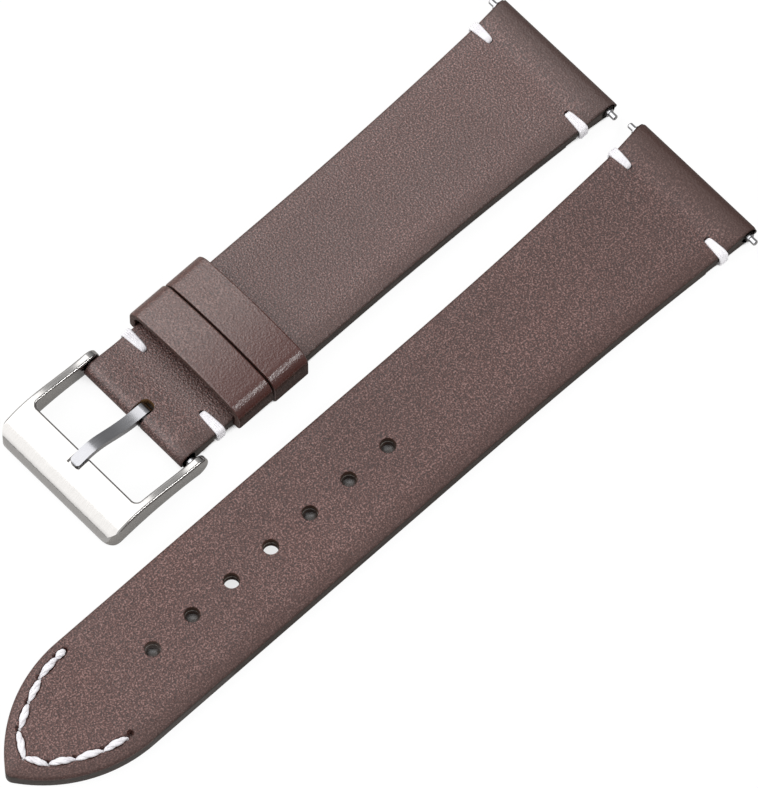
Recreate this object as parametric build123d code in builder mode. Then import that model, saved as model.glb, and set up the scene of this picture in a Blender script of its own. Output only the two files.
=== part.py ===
"""A two-piece leather watch strap with a pin buckle, two keepers and three spring bars.

The halves lie side by side as when they are taken off a watch. +X runs from the tip and the buckle
to the lug ends, +Y from the long half to the short half, and +Z is up from the table.
"""
from build123d import *
import math
import os

os.makedirs("parts", exist_ok=True)

# Leather, as cut
lug_width = 20.0
tail_width = 17.5
taper_length = 42.0
long_length = 116.5
short_length = 72.7
top_leather = 1.0
lining_leather = 1.0
edge_round = 0.3
sheet_thickness = 0.2
sheet_margin = 1.5
overrun = 1.0

# Folds over the spring bars
fold_leather = 0.55
fold_slope = 4.5
pinch_length = 2.6
turn_under = 8.3

# Pointed tip and its adjusting holes
tip_arc_radius = 19.5
tip_nose_radius = 1.0
hole_radius = 1.0
hole_pitch = 6.55
hole_count = 7
first_hole = 53.2

# White thread
thread_width = 1.3
thread_thickness = 0.4
thread_sink = 0.15
wrap_reach = 3.0
buckle_wrap_reach = 3.4
wrap_from_fold = 5.6
buckle_wrap_from_fold = 6.5
tip_thread_width = 0.9
tip_thread_inset = 2.0
tip_stitch_length = 3.6
tip_stitches_each_side = 4
awl_hole_radius = 0.35
stitch_end_share = 0.6

# Keepers
keeper_width = 5.7
keeper_leather = 1.0
keeper_sole = 0.5
keeper_side_gap = 0.15
keeper_slide_gap = 0.1
keeper_gap = 0.3
fixed_keeper_slack = 0.5
free_keeper_slack = 0.15
fixed_keeper_start = 58.3
keeper_tuck = 6.0
keeper_bend_radius = 2.0
keeper_sole_bend = 0.45
keeper_edge_round = 0.2

# Spring bars
tube_radius = 0.75
tube_wall = 0.13
tube_mouth = 0.35
tunnel_clearance = 0.05
running_clearance = 0.03
plunger_length = 2.6
flange_radius = 0.62
flange_thickness = 0.55
bar_tip_radius = 0.4
bar_tip_round = 0.12
stop_gap = 0.05
lug_tube_inset = 1.55
lug_tip_travel = 1.2
lug_tip_length = 1.0
spring_wire_radius = 0.09
spring_radius = 0.42
spring_turns = 16

# Buckle frame
frame_strap_gap = 0.45
arm_thickness = 1.1
frame_side_play = 0.3
eye_radius = 1.6
frame_reach = 14.95
window_reach = 9.45
frame_crown = 4.15
frame_nose_height = 1.2
frame_arch = 0.7
front_bar_thickness = 1.7
frame_corner_radius = 2.2
window_corner_radius = 0.8
frame_edge_round = 0.3
buckle_tip_length = 0.8
buckle_tip_travel = 0.95
buckle_flange_gap = 0.1
pin_hole_end_gap = 0.05

# Tongue
tongue_width = 1.55
tongue_ring_wall = 0.55
tongue_thickness = 1.0
tongue_reach = 11.4
tongue_bevel = 0.22
tongue_rest_gap = 0.03
tongue_tip_height = 0.8
tongue_tip_radius = 0.3
notch_side_gap = 0.2
notch_depth = 0.35
slot_side_gap = 0.2
slot_behind_bar = 1.65
slot_corner_radius = 0.3

# How the two halves lie
halves_gap = 1.65
short_set_back = 0.7

# Worked out from the sizes above
slot_width = tongue_width + 2 * slot_side_gap
keeper_inner_half = tail_width / 2 + keeper_side_gap
frame_inner_half = tail_width / 2 + frame_strap_gap
strap_thickness = top_leather + lining_leather
tunnel_radius = tube_radius + tunnel_clearance
fold_radius = tunnel_radius + fold_leather
edge_step = (lug_width - tail_width) / 2
taper_radius = (taper_length**2 + edge_step**2) / (2 * edge_step)
tip_run = math.sqrt((tip_arc_radius - tip_nose_radius)**2 - (tip_arc_radius - tail_width / 2)**2)
lug_tube_half = lug_width / 2 - lug_tube_inset
lug_tip_reach = lug_tube_half + lug_tip_travel + stop_gap + flange_thickness + lug_tip_length
long_nose_x = long_length / 2
short_nose_x = long_nose_x - short_set_back
long_y = -lug_tip_reach - halves_gap / 2
short_y = lug_tip_reach + halves_gap / 2
buckle_y = short_y - frame_side_play
long_under_z = 0
short_under_z = keeper_sole + keeper_slide_gap
buckle_front_x = short_nose_x - short_length


def half_width(distance):
    """Half the strap's width at a distance from its lug end."""
    left = max(0, taper_length - distance)
    arc_height = math.sqrt(taper_radius**2 - left**2)
    return tail_width / 2 + taper_radius - math.copysign(arc_height, taper_radius)


def plan_plane(y):
    """A horizontal plane just below the table, on one half's centre line."""
    return Plane((0, y, -overrun))


def side_plane(y):
    """The upright plane along one half's centre line, with +X to the right and +Z up."""
    return Plane((0, y, 0), x_dir=(1, 0, 0), z_dir=(0, -1, 0))


def cross_plane(x, y):
    """The upright plane across the strap, with +Y to the right and +Z up."""
    return Plane((x, y, 0), x_dir=(0, 1, 0), z_dir=(1, 0, 0))


def tapered_edge(nose_x):
    """Draws one edge from past the lug end to where the taper ends, and returns its end."""
    lug_edge = Line((nose_x + overrun, 0), (nose_x + overrun, lug_width / 2))
    straight = Line(lug_edge @ 1, (nose_x, lug_width / 2))
    taper_end = (nose_x - taper_length, tail_width / 2)
    TangentArc(taper_end, straight @ 1, tangent=(1, 0))
    return taper_end


# The two outlines, seen from above
tip_start_x = long_nose_x - long_length + tip_nose_radius + tip_run
tip_arc_low = tip_arc_radius - tail_width / 2
nose_centre_x = tip_start_x - tip_run
tip_turn = math.atan2(tip_run, tip_arc_low)
tip_tangent = (
    tip_start_x - tip_arc_radius * math.sin(tip_turn),
    tip_arc_radius * math.cos(tip_turn) - tip_arc_low,
)

with BuildSketch(plan_plane(long_y)) as long_outline:
    with BuildLine():
        long_taper_end = tapered_edge(long_nose_x)
        tail_edge = Line(long_taper_end, (tip_start_x, tail_width / 2))
        TangentArc(tail_edge @ 1, tip_tangent, tangent=(-1, 0))
        TangentArc((nose_centre_x - tip_nose_radius, 0), tip_tangent, tangent=(0, 1))
        mirror(about=Plane.XZ)
    make_face()

with BuildSketch(plan_plane(short_y)) as short_outline:
    with BuildLine():
        short_taper_end = tapered_edge(short_nose_x)
        short_edge = Line(short_taper_end, (buckle_front_x - overrun, tail_width / 2))
        Line(short_edge @ 1, (buckle_front_x - overrun, 0))
        mirror(about=Plane.XZ)
    make_face()

# Heights, each over the table
long_join_z = long_under_z + lining_leather
long_top_z = long_under_z + strap_thickness
short_join_z = short_under_z + lining_leather
short_top_z = short_under_z + strap_thickness
cut_height = short_top_z + 2 * fold_radius + 2 * overrun

# Bar centres
long_bar = (long_nose_x - fold_radius, long_y, long_under_z + fold_radius)
short_bar = (short_nose_x - fold_radius, short_y, short_under_z + strap_thickness / 2)
buckle_bar = (buckle_front_x + fold_radius, buckle_y, short_bar[2])

# Ends of the turned-under flaps
long_flap_x = long_nose_x - turn_under
short_flap_x = short_nose_x - turn_under
buckle_flap_x = buckle_front_x + turn_under


def fold(bar, towards, top_z, under_z):
    """Draws the leather's outside from the strap's top round the bar to its underside.

    towards is 1 where the fold faces +X and -1 where it faces -X.
    """
    x, z = bar[0], bar[2]
    slope_x = x - towards * fold_slope
    along = (towards, 0)
    back = (-towards, 0)
    Spline((slope_x, top_z), (x, z + fold_radius), tangents=(along, along))
    ThreePointArc((x, z + fold_radius), (x + towards * fold_radius, z), (x, z - fold_radius))
    if z - fold_radius < under_z:
        Spline((x, z - fold_radius), (slope_x, under_z), tangents=(back, back))
        return slope_x
    return x


def tunnel(bar, towards):
    """Draws the space round the bar, which narrows to where the two leathers meet."""
    x, z = bar[0], bar[2]
    pinch = (x - towards * pinch_length, z)
    with Locations((x, z)):
        Circle(tunnel_radius)
    Polygon((x, z + tunnel_radius), pinch, (x, z - tunnel_radius), align=None)


def outer_rim(part, join_z):
    """The edges that run along the leather's outside, top, bottom and round the folds."""
    edges = part.edges().filter_by(Axis.Y, reverse=True).filter_by(Axis.Z, reverse=True)
    in_join = edges.filter_by_position(Axis.Z, join_z - edge_round, join_z + edge_round)
    return edges - in_join.filter_by(GeomType.CIRCLE, reverse=True)


def edge_wrap(x, y, side, edge, reach, under_z):
    """One turn of thread, through the strap and round its edge."""
    inner = edge - reach
    outer = edge + thread_thickness
    top_z = under_z + strap_thickness - thread_sink + thread_thickness
    middle = side * (inner + outer) / 2
    tall = top_z - under_z
    with BuildPart() as wrap:
        with BuildSketch(cross_plane(x - thread_width / 2, y)):
            with Locations((middle, under_z + tall / 2)):
                RectangleRounded(outer - inner, tall, thread_thickness / 2)
                Rectangle(
                    outer - inner - 2 * thread_thickness,
                    tall - 2 * thread_thickness,
                    mode=Mode.SUBTRACT,
                )
        extrude(amount=thread_width)
    return wrap


# The long half's thread
wrap_x = long_nose_x - wrap_from_fold
wrap_edge = half_width(wrap_from_fold - thread_width / 2)
long_lug_thread_left = edge_wrap(wrap_x, long_y, 1, wrap_edge, wrap_reach, long_under_z)
long_lug_thread_right = edge_wrap(wrap_x, long_y, -1, wrap_edge, wrap_reach, long_under_z)

stitch_radius = tip_arc_radius - tip_thread_inset
apex_angle = math.acos(tip_arc_low / stitch_radius)
stitch_angle = tip_stitch_length / stitch_radius


def awl_hole(number, side):
    """The place of one stitch hole, counted from the tip along the left or right edge."""
    angle = apex_angle - number * stitch_angle
    across = stitch_radius * math.cos(angle) - tip_arc_low
    return Vector(tip_start_x - stitch_radius * math.sin(angle), side * across)


awl_holes = [awl_hole(number, 1) for number in range(tip_stitches_each_side, 0, -1)]
awl_holes += [awl_hole(number, -1) for number in range(tip_stitches_each_side + 1)]
stitches = list(zip(awl_holes[:-1], awl_holes[1:]))

with BuildPart() as tip_thread:
    for level in (long_under_z, long_top_z - thread_sink):
        with BuildSketch(Plane((0, long_y, level))):
            for start, end in stitches:
                run = end - start
                middle = start + run / 2
                turn = math.degrees(math.atan2(run.Y, run.X))
                with Locations((middle.X, middle.Y)):
                    SlotCenterToCenter(
                        run.length - stitch_end_share * tip_thread_width,
                        tip_thread_width,
                        rotation=turn,
                    )
        extrude(amount=thread_thickness)
    with BuildSketch(Plane((0, long_y, long_under_z))):
        for hole in awl_holes:
            with Locations((hole.X, hole.Y)):
                Circle(awl_hole_radius)
    extrude(amount=strap_thickness)

# The long half's three layers
with BuildPart() as long_top_leather:
    with BuildSketch(side_plane(long_y)):
        with BuildLine():
            long_fold_end = fold(long_bar, 1, long_top_z, long_under_z)
            Polyline(
                (long_fold_end, long_under_z),
                (long_flap_x, long_under_z),
                (long_flap_x, long_join_z),
                (-long_length, long_join_z),
                (-long_length, long_top_z),
                (long_bar[0] - fold_slope, long_top_z),
            )
        make_face()
    extrude(amount=lug_width, both=True)
    extrude(long_outline.sketch, amount=cut_height, mode=Mode.INTERSECT)
    fillet(outer_rim(long_top_leather, long_join_z), edge_round)
    with BuildSketch(side_plane(long_y)):
        tunnel(long_bar, 1)
    extrude(amount=lug_width, both=True, mode=Mode.SUBTRACT)

holes_middle_x = long_nose_x - first_hole - hole_pitch * (hole_count - 1) / 2

with BuildSketch(Plane((holes_middle_x, long_y, -overrun))) as adjusting_holes:
    with GridLocations(hole_pitch, 0, hole_count, 1):
        Circle(hole_radius)

with BuildPart() as long_reinforcement:
    with BuildSketch(Plane((0, long_y, long_join_z - sheet_thickness))):
        add(long_outline.sketch.moved(Location((0, -long_y, overrun))))
        offset(amount=-sheet_margin, kind=Kind.INTERSECTION)
    extrude(amount=sheet_thickness)
    with Locations((long_flap_x - sheet_margin - long_length / 2, long_y, long_join_z)):
        Box(long_length, lug_width, strap_thickness, mode=Mode.INTERSECT)
    extrude(adjusting_holes.sketch, amount=cut_height, mode=Mode.SUBTRACT)
    add(tip_thread.part, mode=Mode.SUBTRACT)

with BuildPart() as long_lining:
    extrude(long_outline.sketch, amount=overrun + long_join_z)
    with Locations((long_flap_x - long_length / 2, long_y, long_under_z + lining_leather / 2)):
        Box(long_length, lug_width, lining_leather, mode=Mode.INTERSECT)

for layer in (long_top_leather, long_lining):
    with layer:
        extrude(adjusting_holes.sketch, amount=cut_height, mode=Mode.SUBTRACT)
        for thread in (tip_thread, long_lug_thread_left, long_lug_thread_right, long_reinforcement):
            add(thread.part, mode=Mode.SUBTRACT)

long_top_leather.part.label = "long_top_leather"
long_reinforcement.part.label = "long_reinforcement"
long_lining.part.label = "long_lining"

# The short half's thread
short_wrap_x = short_nose_x - wrap_from_fold
buckle_wrap_x = buckle_front_x + buckle_wrap_from_fold
tail_edge = tail_width / 2
short_lug_thread_left = edge_wrap(short_wrap_x, short_y, 1, wrap_edge, wrap_reach, short_under_z)
short_lug_thread_right = edge_wrap(short_wrap_x, short_y, -1, wrap_edge, wrap_reach, short_under_z)
buckle_thread_left = edge_wrap(
    buckle_wrap_x, short_y, 1, tail_edge, buckle_wrap_reach, short_under_z
)
buckle_thread_right = edge_wrap(
    buckle_wrap_x, short_y, -1, tail_edge, buckle_wrap_reach, short_under_z
)


# The two keepers
def loop_section(x, half, bottom_z, top_z, top_bend, sole_bend):
    """A rounded rectangle across the short half, as wide as twice the half width given."""
    with BuildSketch(cross_plane(x, short_y)) as section:
        with Locations((0, bottom_z)):
            Rectangle(2 * half, top_z - bottom_z, align=(Align.CENTER, Align.MIN))
        fillet(section.vertices().group_by(Axis.Y)[-1], top_bend)
        if sole_bend > 0:
            fillet(section.vertices().group_by(Axis.Y)[0], sole_bend)
    return section.sketch


def keeper(start, bottom_z, inner_top_z):
    """A leather loop round the strap with a thin sole, from its distance to the lug end."""
    x = short_nose_x - start - keeper_width
    outer_half = keeper_inner_half + keeper_leather
    inner_bend = keeper_bend_radius - keeper_leather
    with BuildPart() as loop:
        extrude(
            loop_section(
                x, outer_half, bottom_z, inner_top_z + keeper_leather, keeper_bend_radius,
                keeper_sole_bend,
            ),
            amount=keeper_width,
        )
        ends = loop.faces().filter_by(Axis.X)
        fillet(ends.edges(), keeper_edge_round)
        extrude(
            loop_section(
                x, keeper_inner_half, bottom_z + keeper_sole, inner_top_z, inner_bend, 0
            ),
            amount=keeper_width,
            mode=Mode.SUBTRACT,
        )
    return loop


free_keeper_start = fixed_keeper_start - keeper_gap - keeper_width
free_keeper_top_z = short_top_z + strap_thickness + free_keeper_slack
free_keeper = keeper(free_keeper_start, 0, free_keeper_top_z)
free_keeper.part.label = "free_keeper"

fixed_keeper_bottom_z = short_join_z - keeper_sole
fixed_keeper_top_z = short_top_z + strap_thickness + fixed_keeper_slack
fixed_keeper = keeper(fixed_keeper_start, fixed_keeper_bottom_z, fixed_keeper_top_z)
with fixed_keeper:
    with Locations((short_nose_x - fixed_keeper_start, short_y, fixed_keeper_bottom_z)):
        Box(
            4 * keeper_width,
            tail_width - 2 * keeper_tuck,
            2 * keeper_sole,
            mode=Mode.SUBTRACT,
        )
fixed_keeper.part.label = "fixed_keeper"

# The short half's three layers
with BuildPart() as short_top_leather:
    with BuildSketch(side_plane(short_y)):
        with BuildLine():
            short_fold_end = fold(short_bar, 1, short_top_z, short_under_z)
            buckle_fold_end = fold(buckle_bar, -1, short_top_z, short_under_z)
            Polyline(
                (short_fold_end, short_under_z),
                (short_flap_x, short_under_z),
                (short_flap_x, short_join_z),
                (buckle_flap_x, short_join_z),
                (buckle_flap_x, short_under_z),
                (buckle_fold_end, short_under_z),
            )
            Line(
                (short_bar[0] - fold_slope, short_top_z),
                (buckle_bar[0] + fold_slope, short_top_z),
            )
        make_face()
    extrude(amount=lug_width, both=True)
    extrude(short_outline.sketch, amount=cut_height, mode=Mode.INTERSECT)
    fillet(outer_rim(short_top_leather, short_join_z), edge_round)
    with BuildSketch(side_plane(short_y)):
        tunnel(short_bar, 1)
        tunnel(buckle_bar, -1)
    extrude(amount=lug_width, both=True, mode=Mode.SUBTRACT)
    with BuildSketch(Plane((buckle_bar[0] + slot_behind_bar, buckle_y, -overrun))) as slot:
        Rectangle(
            slot_behind_bar + fold_radius + overrun,
            slot_width,
            align=(Align.MAX, Align.CENTER),
        )
        fillet(slot.vertices().group_by(Axis.X)[-1], slot_corner_radius)
    extrude(amount=cut_height, mode=Mode.SUBTRACT)

short_sheet_start_x = short_nose_x - fixed_keeper_start + sheet_margin
short_sheet_length = short_flap_x - sheet_margin - short_sheet_start_x
with BuildPart() as short_reinforcement:
    with BuildSketch(Plane((0, short_y, short_join_z - sheet_thickness))):
        left_edge = short_outline.sketch.moved(Location((0, -short_y - sheet_margin, overrun)))
        right_edge = short_outline.sketch.moved(Location((0, -short_y + sheet_margin, overrun)))
        add(left_edge)
        add(right_edge, mode=Mode.INTERSECT)
    extrude(amount=sheet_thickness)
    with Locations((short_sheet_start_x + short_sheet_length / 2, short_y, short_join_z)):
        Box(short_sheet_length, lug_width, strap_thickness, mode=Mode.INTERSECT)

short_lining_length = short_flap_x - buckle_flap_x
with BuildPart() as short_lining:
    extrude(short_outline.sketch, amount=overrun + short_join_z)
    with Locations((buckle_flap_x, short_y, short_under_z)):
        Box(
            short_lining_length,
            lug_width,
            lining_leather,
            align=(Align.MIN, Align.CENTER, Align.MIN),
            mode=Mode.INTERSECT,
        )

short_threads = (
    short_lug_thread_left,
    short_lug_thread_right,
    buckle_thread_left,
    buckle_thread_right,
)
with short_top_leather:
    for thread in short_threads:
        add(thread.part, mode=Mode.SUBTRACT)
with short_lining:
    add(fixed_keeper.part, mode=Mode.SUBTRACT)
    add(short_reinforcement.part, mode=Mode.SUBTRACT)

short_top_leather.part.label = "short_top_leather"
short_reinforcement.part.label = "short_reinforcement"
short_lining.part.label = "short_lining"


# Spring bars, each a tube with a spring between two plungers
def bar_plane(centre):
    """A plane through a bar's axis, with the bar's axis as its first direction."""
    return Plane(centre, x_dir=(0, 1, 0), z_dir=(1, 0, 0))


def bar_tube(centre, tube_half):
    """The tube, with its bore narrowed at both mouths."""
    bore = tube_radius - tube_wall
    mouth = bar_tip_radius + running_clearance
    inner_half = tube_half - tube_mouth
    with BuildPart() as tube:
        with BuildSketch(bar_plane(centre)):
            with BuildLine():
                Polyline(
                    (-tube_half, mouth),
                    (-tube_half, tube_radius),
                    (tube_half, tube_radius),
                    (tube_half, mouth),
                    (inner_half, mouth),
                    (inner_half, bore),
                    (-inner_half, bore),
                    (-inner_half, mouth),
                    close=True,
                )
            make_face()
        revolve(axis=Axis(centre, (0, 1, 0)))
    return tube


def plunger_end(tube_half):
    """How far the inner end of each plunger is from the bar's middle."""
    return tube_half - tube_mouth - stop_gap - plunger_length


def bar_tip(centre, tube_half, travel, tip_length, side):
    """One plunger with its neck, flange and tip, pushed out against the tube's mouth."""
    plunger = tube_radius - tube_wall - running_clearance
    inner = plunger_end(tube_half)
    shoulder = inner + plunger_length
    flange = tube_half + travel + stop_gap
    tip_base = flange + flange_thickness
    tip_end = tip_base + tip_length
    with BuildPart() as tip:
        with BuildSketch(bar_plane(centre)):
            with BuildLine():
                Polyline(
                    (side * inner, 0),
                    (side * inner, plunger),
                    (side * shoulder, plunger),
                    (side * shoulder, bar_tip_radius),
                    (side * flange, bar_tip_radius),
                    (side * flange, flange_radius),
                    (side * tip_base, flange_radius),
                    (side * tip_base, bar_tip_radius),
                    (side * (tip_end - bar_tip_round), bar_tip_radius),
                    (side * tip_end, bar_tip_radius - bar_tip_round),
                    (side * tip_end, 0),
                    close=True,
                )
            make_face()
        revolve(axis=Axis(centre, (0, 1, 0)))
    return tip


def bar_spring(centre, tube_half):
    """The coil between the two plungers."""
    half = plunger_end(tube_half) - stop_gap - spring_wire_radius
    start = Vector(*centre) - Vector(0, half, 0)
    with BuildPart() as spring:
        with BuildLine() as coil:
            Helix(2 * half / spring_turns, 2 * half, spring_radius, start, (0, 1, 0))
        with BuildSketch(Plane(coil.line @ 0, z_dir=coil.line % 0)):
            Circle(spring_wire_radius)
        sweep(path=coil.line, is_frenet=True)
    return spring


buckle_tube_half = (
    frame_inner_half - buckle_flange_gap - flange_thickness - buckle_tip_travel - stop_gap
)
bars = (
    ("long_bar", long_bar, lug_tube_half, lug_tip_travel, lug_tip_length),
    ("short_bar", short_bar, lug_tube_half, lug_tip_travel, lug_tip_length),
    ("buckle_bar", buckle_bar, buckle_tube_half, buckle_tip_travel, buckle_tip_length),
)
bar_parts = []
for bar_name, centre, tube_half, travel, tip_length in bars:
    tube = bar_tube(centre, tube_half)
    tube.part.label = bar_name + "_tube"
    spring = bar_spring(centre, tube_half)
    spring.part.label = bar_name + "_spring"
    left_tip = bar_tip(centre, tube_half, travel, tip_length, 1)
    left_tip.part.label = bar_name + "_tip_left"
    right_tip = bar_tip(centre, tube_half, travel, tip_length, -1)
    right_tip.part.label = bar_name + "_tip_right"
    bar_parts += [tube, spring, left_tip, right_tip]

# Buckle frame, drawn from the side and then from above
bar_x, bar_z = buckle_bar[0], buckle_bar[2]
window_x = bar_x - window_reach
nose_x = bar_x - frame_reach
arch_x = nose_x + frame_nose_height
frame_outer_half = frame_inner_half + arm_thickness
crown_rise = frame_crown - frame_nose_height
pin_hole_depth = (
    buckle_tip_length + pin_hole_end_gap - buckle_flange_gap
)
pocket_x = nose_x + front_bar_thickness
notch_floor_z = frame_crown - notch_depth
notch_end_x = bar_x - tongue_reach - notch_side_gap
notch_fall = notch_depth / (window_x - notch_end_x)

with BuildPart() as buckle_frame:
    with BuildSketch(side_plane(buckle_y)):
        with BuildLine():
            Spline(
                (bar_x, bar_z + eye_radius),
                (window_x, frame_crown),
                tangents=((-1, 0), (-1, 0)),
            )
            EllipticalCenterArc(
                (window_x, frame_nose_height),
                window_x - nose_x,
                crown_rise,
                start_angle=90,
                arc_size=90,
            )
            TangentArc((nose_x, frame_nose_height), (arch_x, 0), tangent=(0, -1))
            ThreePointArc(
                (arch_x, 0), ((arch_x + bar_x) / 2, frame_arch), (bar_x, bar_z - eye_radius)
            )
            ThreePointArc(
                (bar_x, bar_z - eye_radius),
                (bar_x + eye_radius, bar_z),
                (bar_x, bar_z + eye_radius),
            )
        make_face()
    extrude(amount=frame_outer_half)
    arm_side = buckle_frame.faces().sort_by(Axis.Y)[0]
    fillet(arm_side.edges(), frame_edge_round)
    with BuildSketch(Plane((nose_x, buckle_y, -overrun))) as frame_outline:
        Rectangle(
            frame_reach + eye_radius + overrun,
            2 * frame_outer_half,
            align=(Align.MIN, Align.CENTER),
        )
        fillet(frame_outline.vertices().group_by(Axis.X)[0], frame_corner_radius)
    extrude(amount=cut_height, mode=Mode.INTERSECT)
    with BuildSketch(Plane((window_x, buckle_y, -overrun))) as window:
        Rectangle(
            window_reach + eye_radius + overrun,
            2 * frame_inner_half,
            align=(Align.MIN, Align.CENTER),
        )
        fillet(window.vertices().group_by(Axis.X)[0], window_corner_radius)
    extrude(amount=cut_height, mode=Mode.SUBTRACT)
    top_rim = buckle_frame.edges().filter_by(Axis.Y).group_by(Axis.Z)[-1]
    fillet(top_rim.sort_by(SortBy.LENGTH)[-1], frame_edge_round)
    mirror(about=side_plane(buckle_y))
    with BuildSketch(side_plane(buckle_y)):
        with BuildLine():
            pocket_top = (window_x, frame_crown - front_bar_thickness)
            Spline(pocket_top, (pocket_x, 0), tangents=((-1, 0), (0, -1)))
            Polyline((pocket_x, 0), (window_x, 0), pocket_top)
        make_face()
    extrude(amount=frame_inner_half, both=True, mode=Mode.SUBTRACT)
    with BuildSketch(side_plane(buckle_y)):
        Polygon(
            (window_x + overrun, notch_floor_z + notch_fall * overrun),
            (window_x + overrun, cut_height),
            (notch_end_x, cut_height),
            (notch_end_x, notch_floor_z - notch_depth),
            align=None,
        )
    extrude(amount=tongue_width / 2 + notch_side_gap, both=True, mode=Mode.SUBTRACT)
    with BuildSketch(side_plane(buckle_y)):
        with Locations((bar_x, bar_z)):
            Circle(bar_tip_radius + running_clearance)
    extrude(amount=frame_inner_half + pin_hole_depth, both=True, mode=Mode.SUBTRACT)

buckle_frame.part.label = "buckle_frame"

# Tongue, resting in the notch of the front bar
ring_inner_radius = tube_radius + tunnel_clearance
ring_outer_radius = ring_inner_radius + tongue_ring_wall
tongue_tip_x = bar_x - tongue_reach
rest_z = notch_floor_z + tongue_rest_gap
tip_under_z = rest_z - notch_fall * (window_x - tongue_tip_x)

with BuildPart() as buckle_tongue:
    with BuildSketch(side_plane(buckle_y)) as tongue_side:
        with BuildLine():
            Spline(
                (bar_x, bar_z + ring_outer_radius),
                (window_x, rest_z + tongue_thickness),
                (tongue_tip_x, tip_under_z + tongue_tip_height),
                tangents=((-1, 0), (-1, -2 * notch_fall)),
            )
            Polyline(
                (tongue_tip_x, tip_under_z + tongue_tip_height),
                (tongue_tip_x, tip_under_z),
                (window_x, rest_z),
            )
            Spline(
                (window_x, rest_z),
                (bar_x - ring_inner_radius, bar_z + tongue_ring_wall / 2),
                tangents=((1, notch_fall), (1, 0)),
            )
            Line(
                (bar_x - ring_inner_radius, bar_z + tongue_ring_wall / 2),
                (bar_x, bar_z + ring_outer_radius),
            )
        make_face()
        fillet(tongue_side.vertices().group_by(Axis.X)[0], tongue_tip_radius)
        with Locations((bar_x, bar_z)):
            Circle(ring_outer_radius)
            Circle(ring_inner_radius, mode=Mode.SUBTRACT)
    extrude(amount=tongue_width / 2, both=True)
    with BuildSketch(Plane((tongue_tip_x, buckle_y, -overrun))):
        Rectangle(
            tongue_reach + ring_outer_radius,
            tongue_width,
            align=(Align.MIN, Align.CENTER),
        )
        fillet(vertices().group_by(Axis.X)[0], tongue_width / 2 - tongue_bevel)
    extrude(amount=cut_height, mode=Mode.INTERSECT)

buckle_tongue.part.label = "buckle_tongue"

threads = {
    "tip_thread": tip_thread,
    "long_lug_thread_left": long_lug_thread_left,
    "long_lug_thread_right": long_lug_thread_right,
    "short_lug_thread_left": short_lug_thread_left,
    "short_lug_thread_right": short_lug_thread_right,
    "buckle_thread_left": buckle_thread_left,
    "buckle_thread_right": buckle_thread_right,
}
for thread_name, thread in threads.items():
    thread.part.label = thread_name

pieces = [
    long_top_leather,
    long_lining,
    long_reinforcement,
    short_top_leather,
    short_lining,
    short_reinforcement,
    fixed_keeper,
    free_keeper,
    buckle_frame,
    buckle_tongue,
]
for piece in pieces + list(threads.values()) + bar_parts:
    export_step(piece.part, "parts/" + piece.part.label + ".step")
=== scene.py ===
import math

import bpy
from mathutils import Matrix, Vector


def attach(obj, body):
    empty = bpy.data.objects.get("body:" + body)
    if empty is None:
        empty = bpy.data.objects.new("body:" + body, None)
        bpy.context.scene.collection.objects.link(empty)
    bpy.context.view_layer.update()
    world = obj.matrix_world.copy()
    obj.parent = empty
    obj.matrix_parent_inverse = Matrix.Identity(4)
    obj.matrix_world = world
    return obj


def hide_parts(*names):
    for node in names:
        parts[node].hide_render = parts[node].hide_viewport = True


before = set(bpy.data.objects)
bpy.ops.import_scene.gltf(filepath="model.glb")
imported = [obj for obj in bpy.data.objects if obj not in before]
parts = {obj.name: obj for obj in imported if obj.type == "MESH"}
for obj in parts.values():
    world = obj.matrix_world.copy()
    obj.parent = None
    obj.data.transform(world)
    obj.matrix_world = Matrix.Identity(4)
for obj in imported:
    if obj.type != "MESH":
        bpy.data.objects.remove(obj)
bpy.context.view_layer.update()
bpy.ops.object.select_all(action="DESELECT")

MM = 0.001

# Sizes in millimetres, as in the CAD source
LUG_HALF = 10.0
TAIL_HALF = 8.75
TAPER_LENGTH = 42.0
TAPER_RADIUS = (TAPER_LENGTH**2 + (LUG_HALF - TAIL_HALF)**2) / (2 * (LUG_HALF - TAIL_HALF))
LONG_NOSE_X, LONG_LENGTH, LONG_Y, LONG_BASE = 58.25, 116.5, -12.075, 0.0
SHORT_NOSE_X, SHORT_LENGTH, SHORT_Y, SHORT_BASE = 57.55, 72.7, 12.075, 0.6
LEATHER = 1.0
THICKNESS = 2.0
FOLD_RADIUS = 1.35
FOLD_SLOPE = 4.5
FLAP = 8.3
TUNNEL_RADIUS = 0.8
TIP_RADIUS = 19.5
TIP_NOSE = 1.0
HOLE_RADIUS, HOLE_PITCH, HOLE_COUNT, FIRST_HOLE = 1.0, 6.55, 7, 53.2
BUCKLE_Y = SHORT_Y - 0.3
BUCKLE_FRONT_X = SHORT_NOSE_X - SHORT_LENGTH
BUCKLE_BAR_X = BUCKLE_FRONT_X + FOLD_RADIUS
TIP_RUN = math.sqrt((TIP_RADIUS - TIP_NOSE)**2 - (TIP_RADIUS - TAIL_HALF)**2)
TIP_START_X = LONG_NOSE_X - LONG_LENGTH + TIP_NOSE + TIP_RUN
RIM_ROUND = 0.4


def colour(red, green, blue):
    """A colour as it should look, 0 to 255, turned into Blender's linear values."""
    def linear(value):
        share = value / 255
        return share / 12.92 if share <= 0.04045 else ((share + 0.055) / 1.055)**2.4
    return linear(red), linear(green), linear(blue), 1.0


def half_width(x, nose_x):
    """Half the strap's width at x, measured from its lug end."""
    left = max(0.0, TAPER_LENGTH - (nose_x - x))
    return TAIL_HALF + TAPER_RADIUS - math.sqrt(TAPER_RADIUS**2 - left**2)


# ---- making and shaping pieces


def deselect():
    bpy.ops.object.select_all(action="DESELECT")


def only(piece):
    deselect()
    piece.select_set(True)
    bpy.context.view_layer.objects.active = piece


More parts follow.
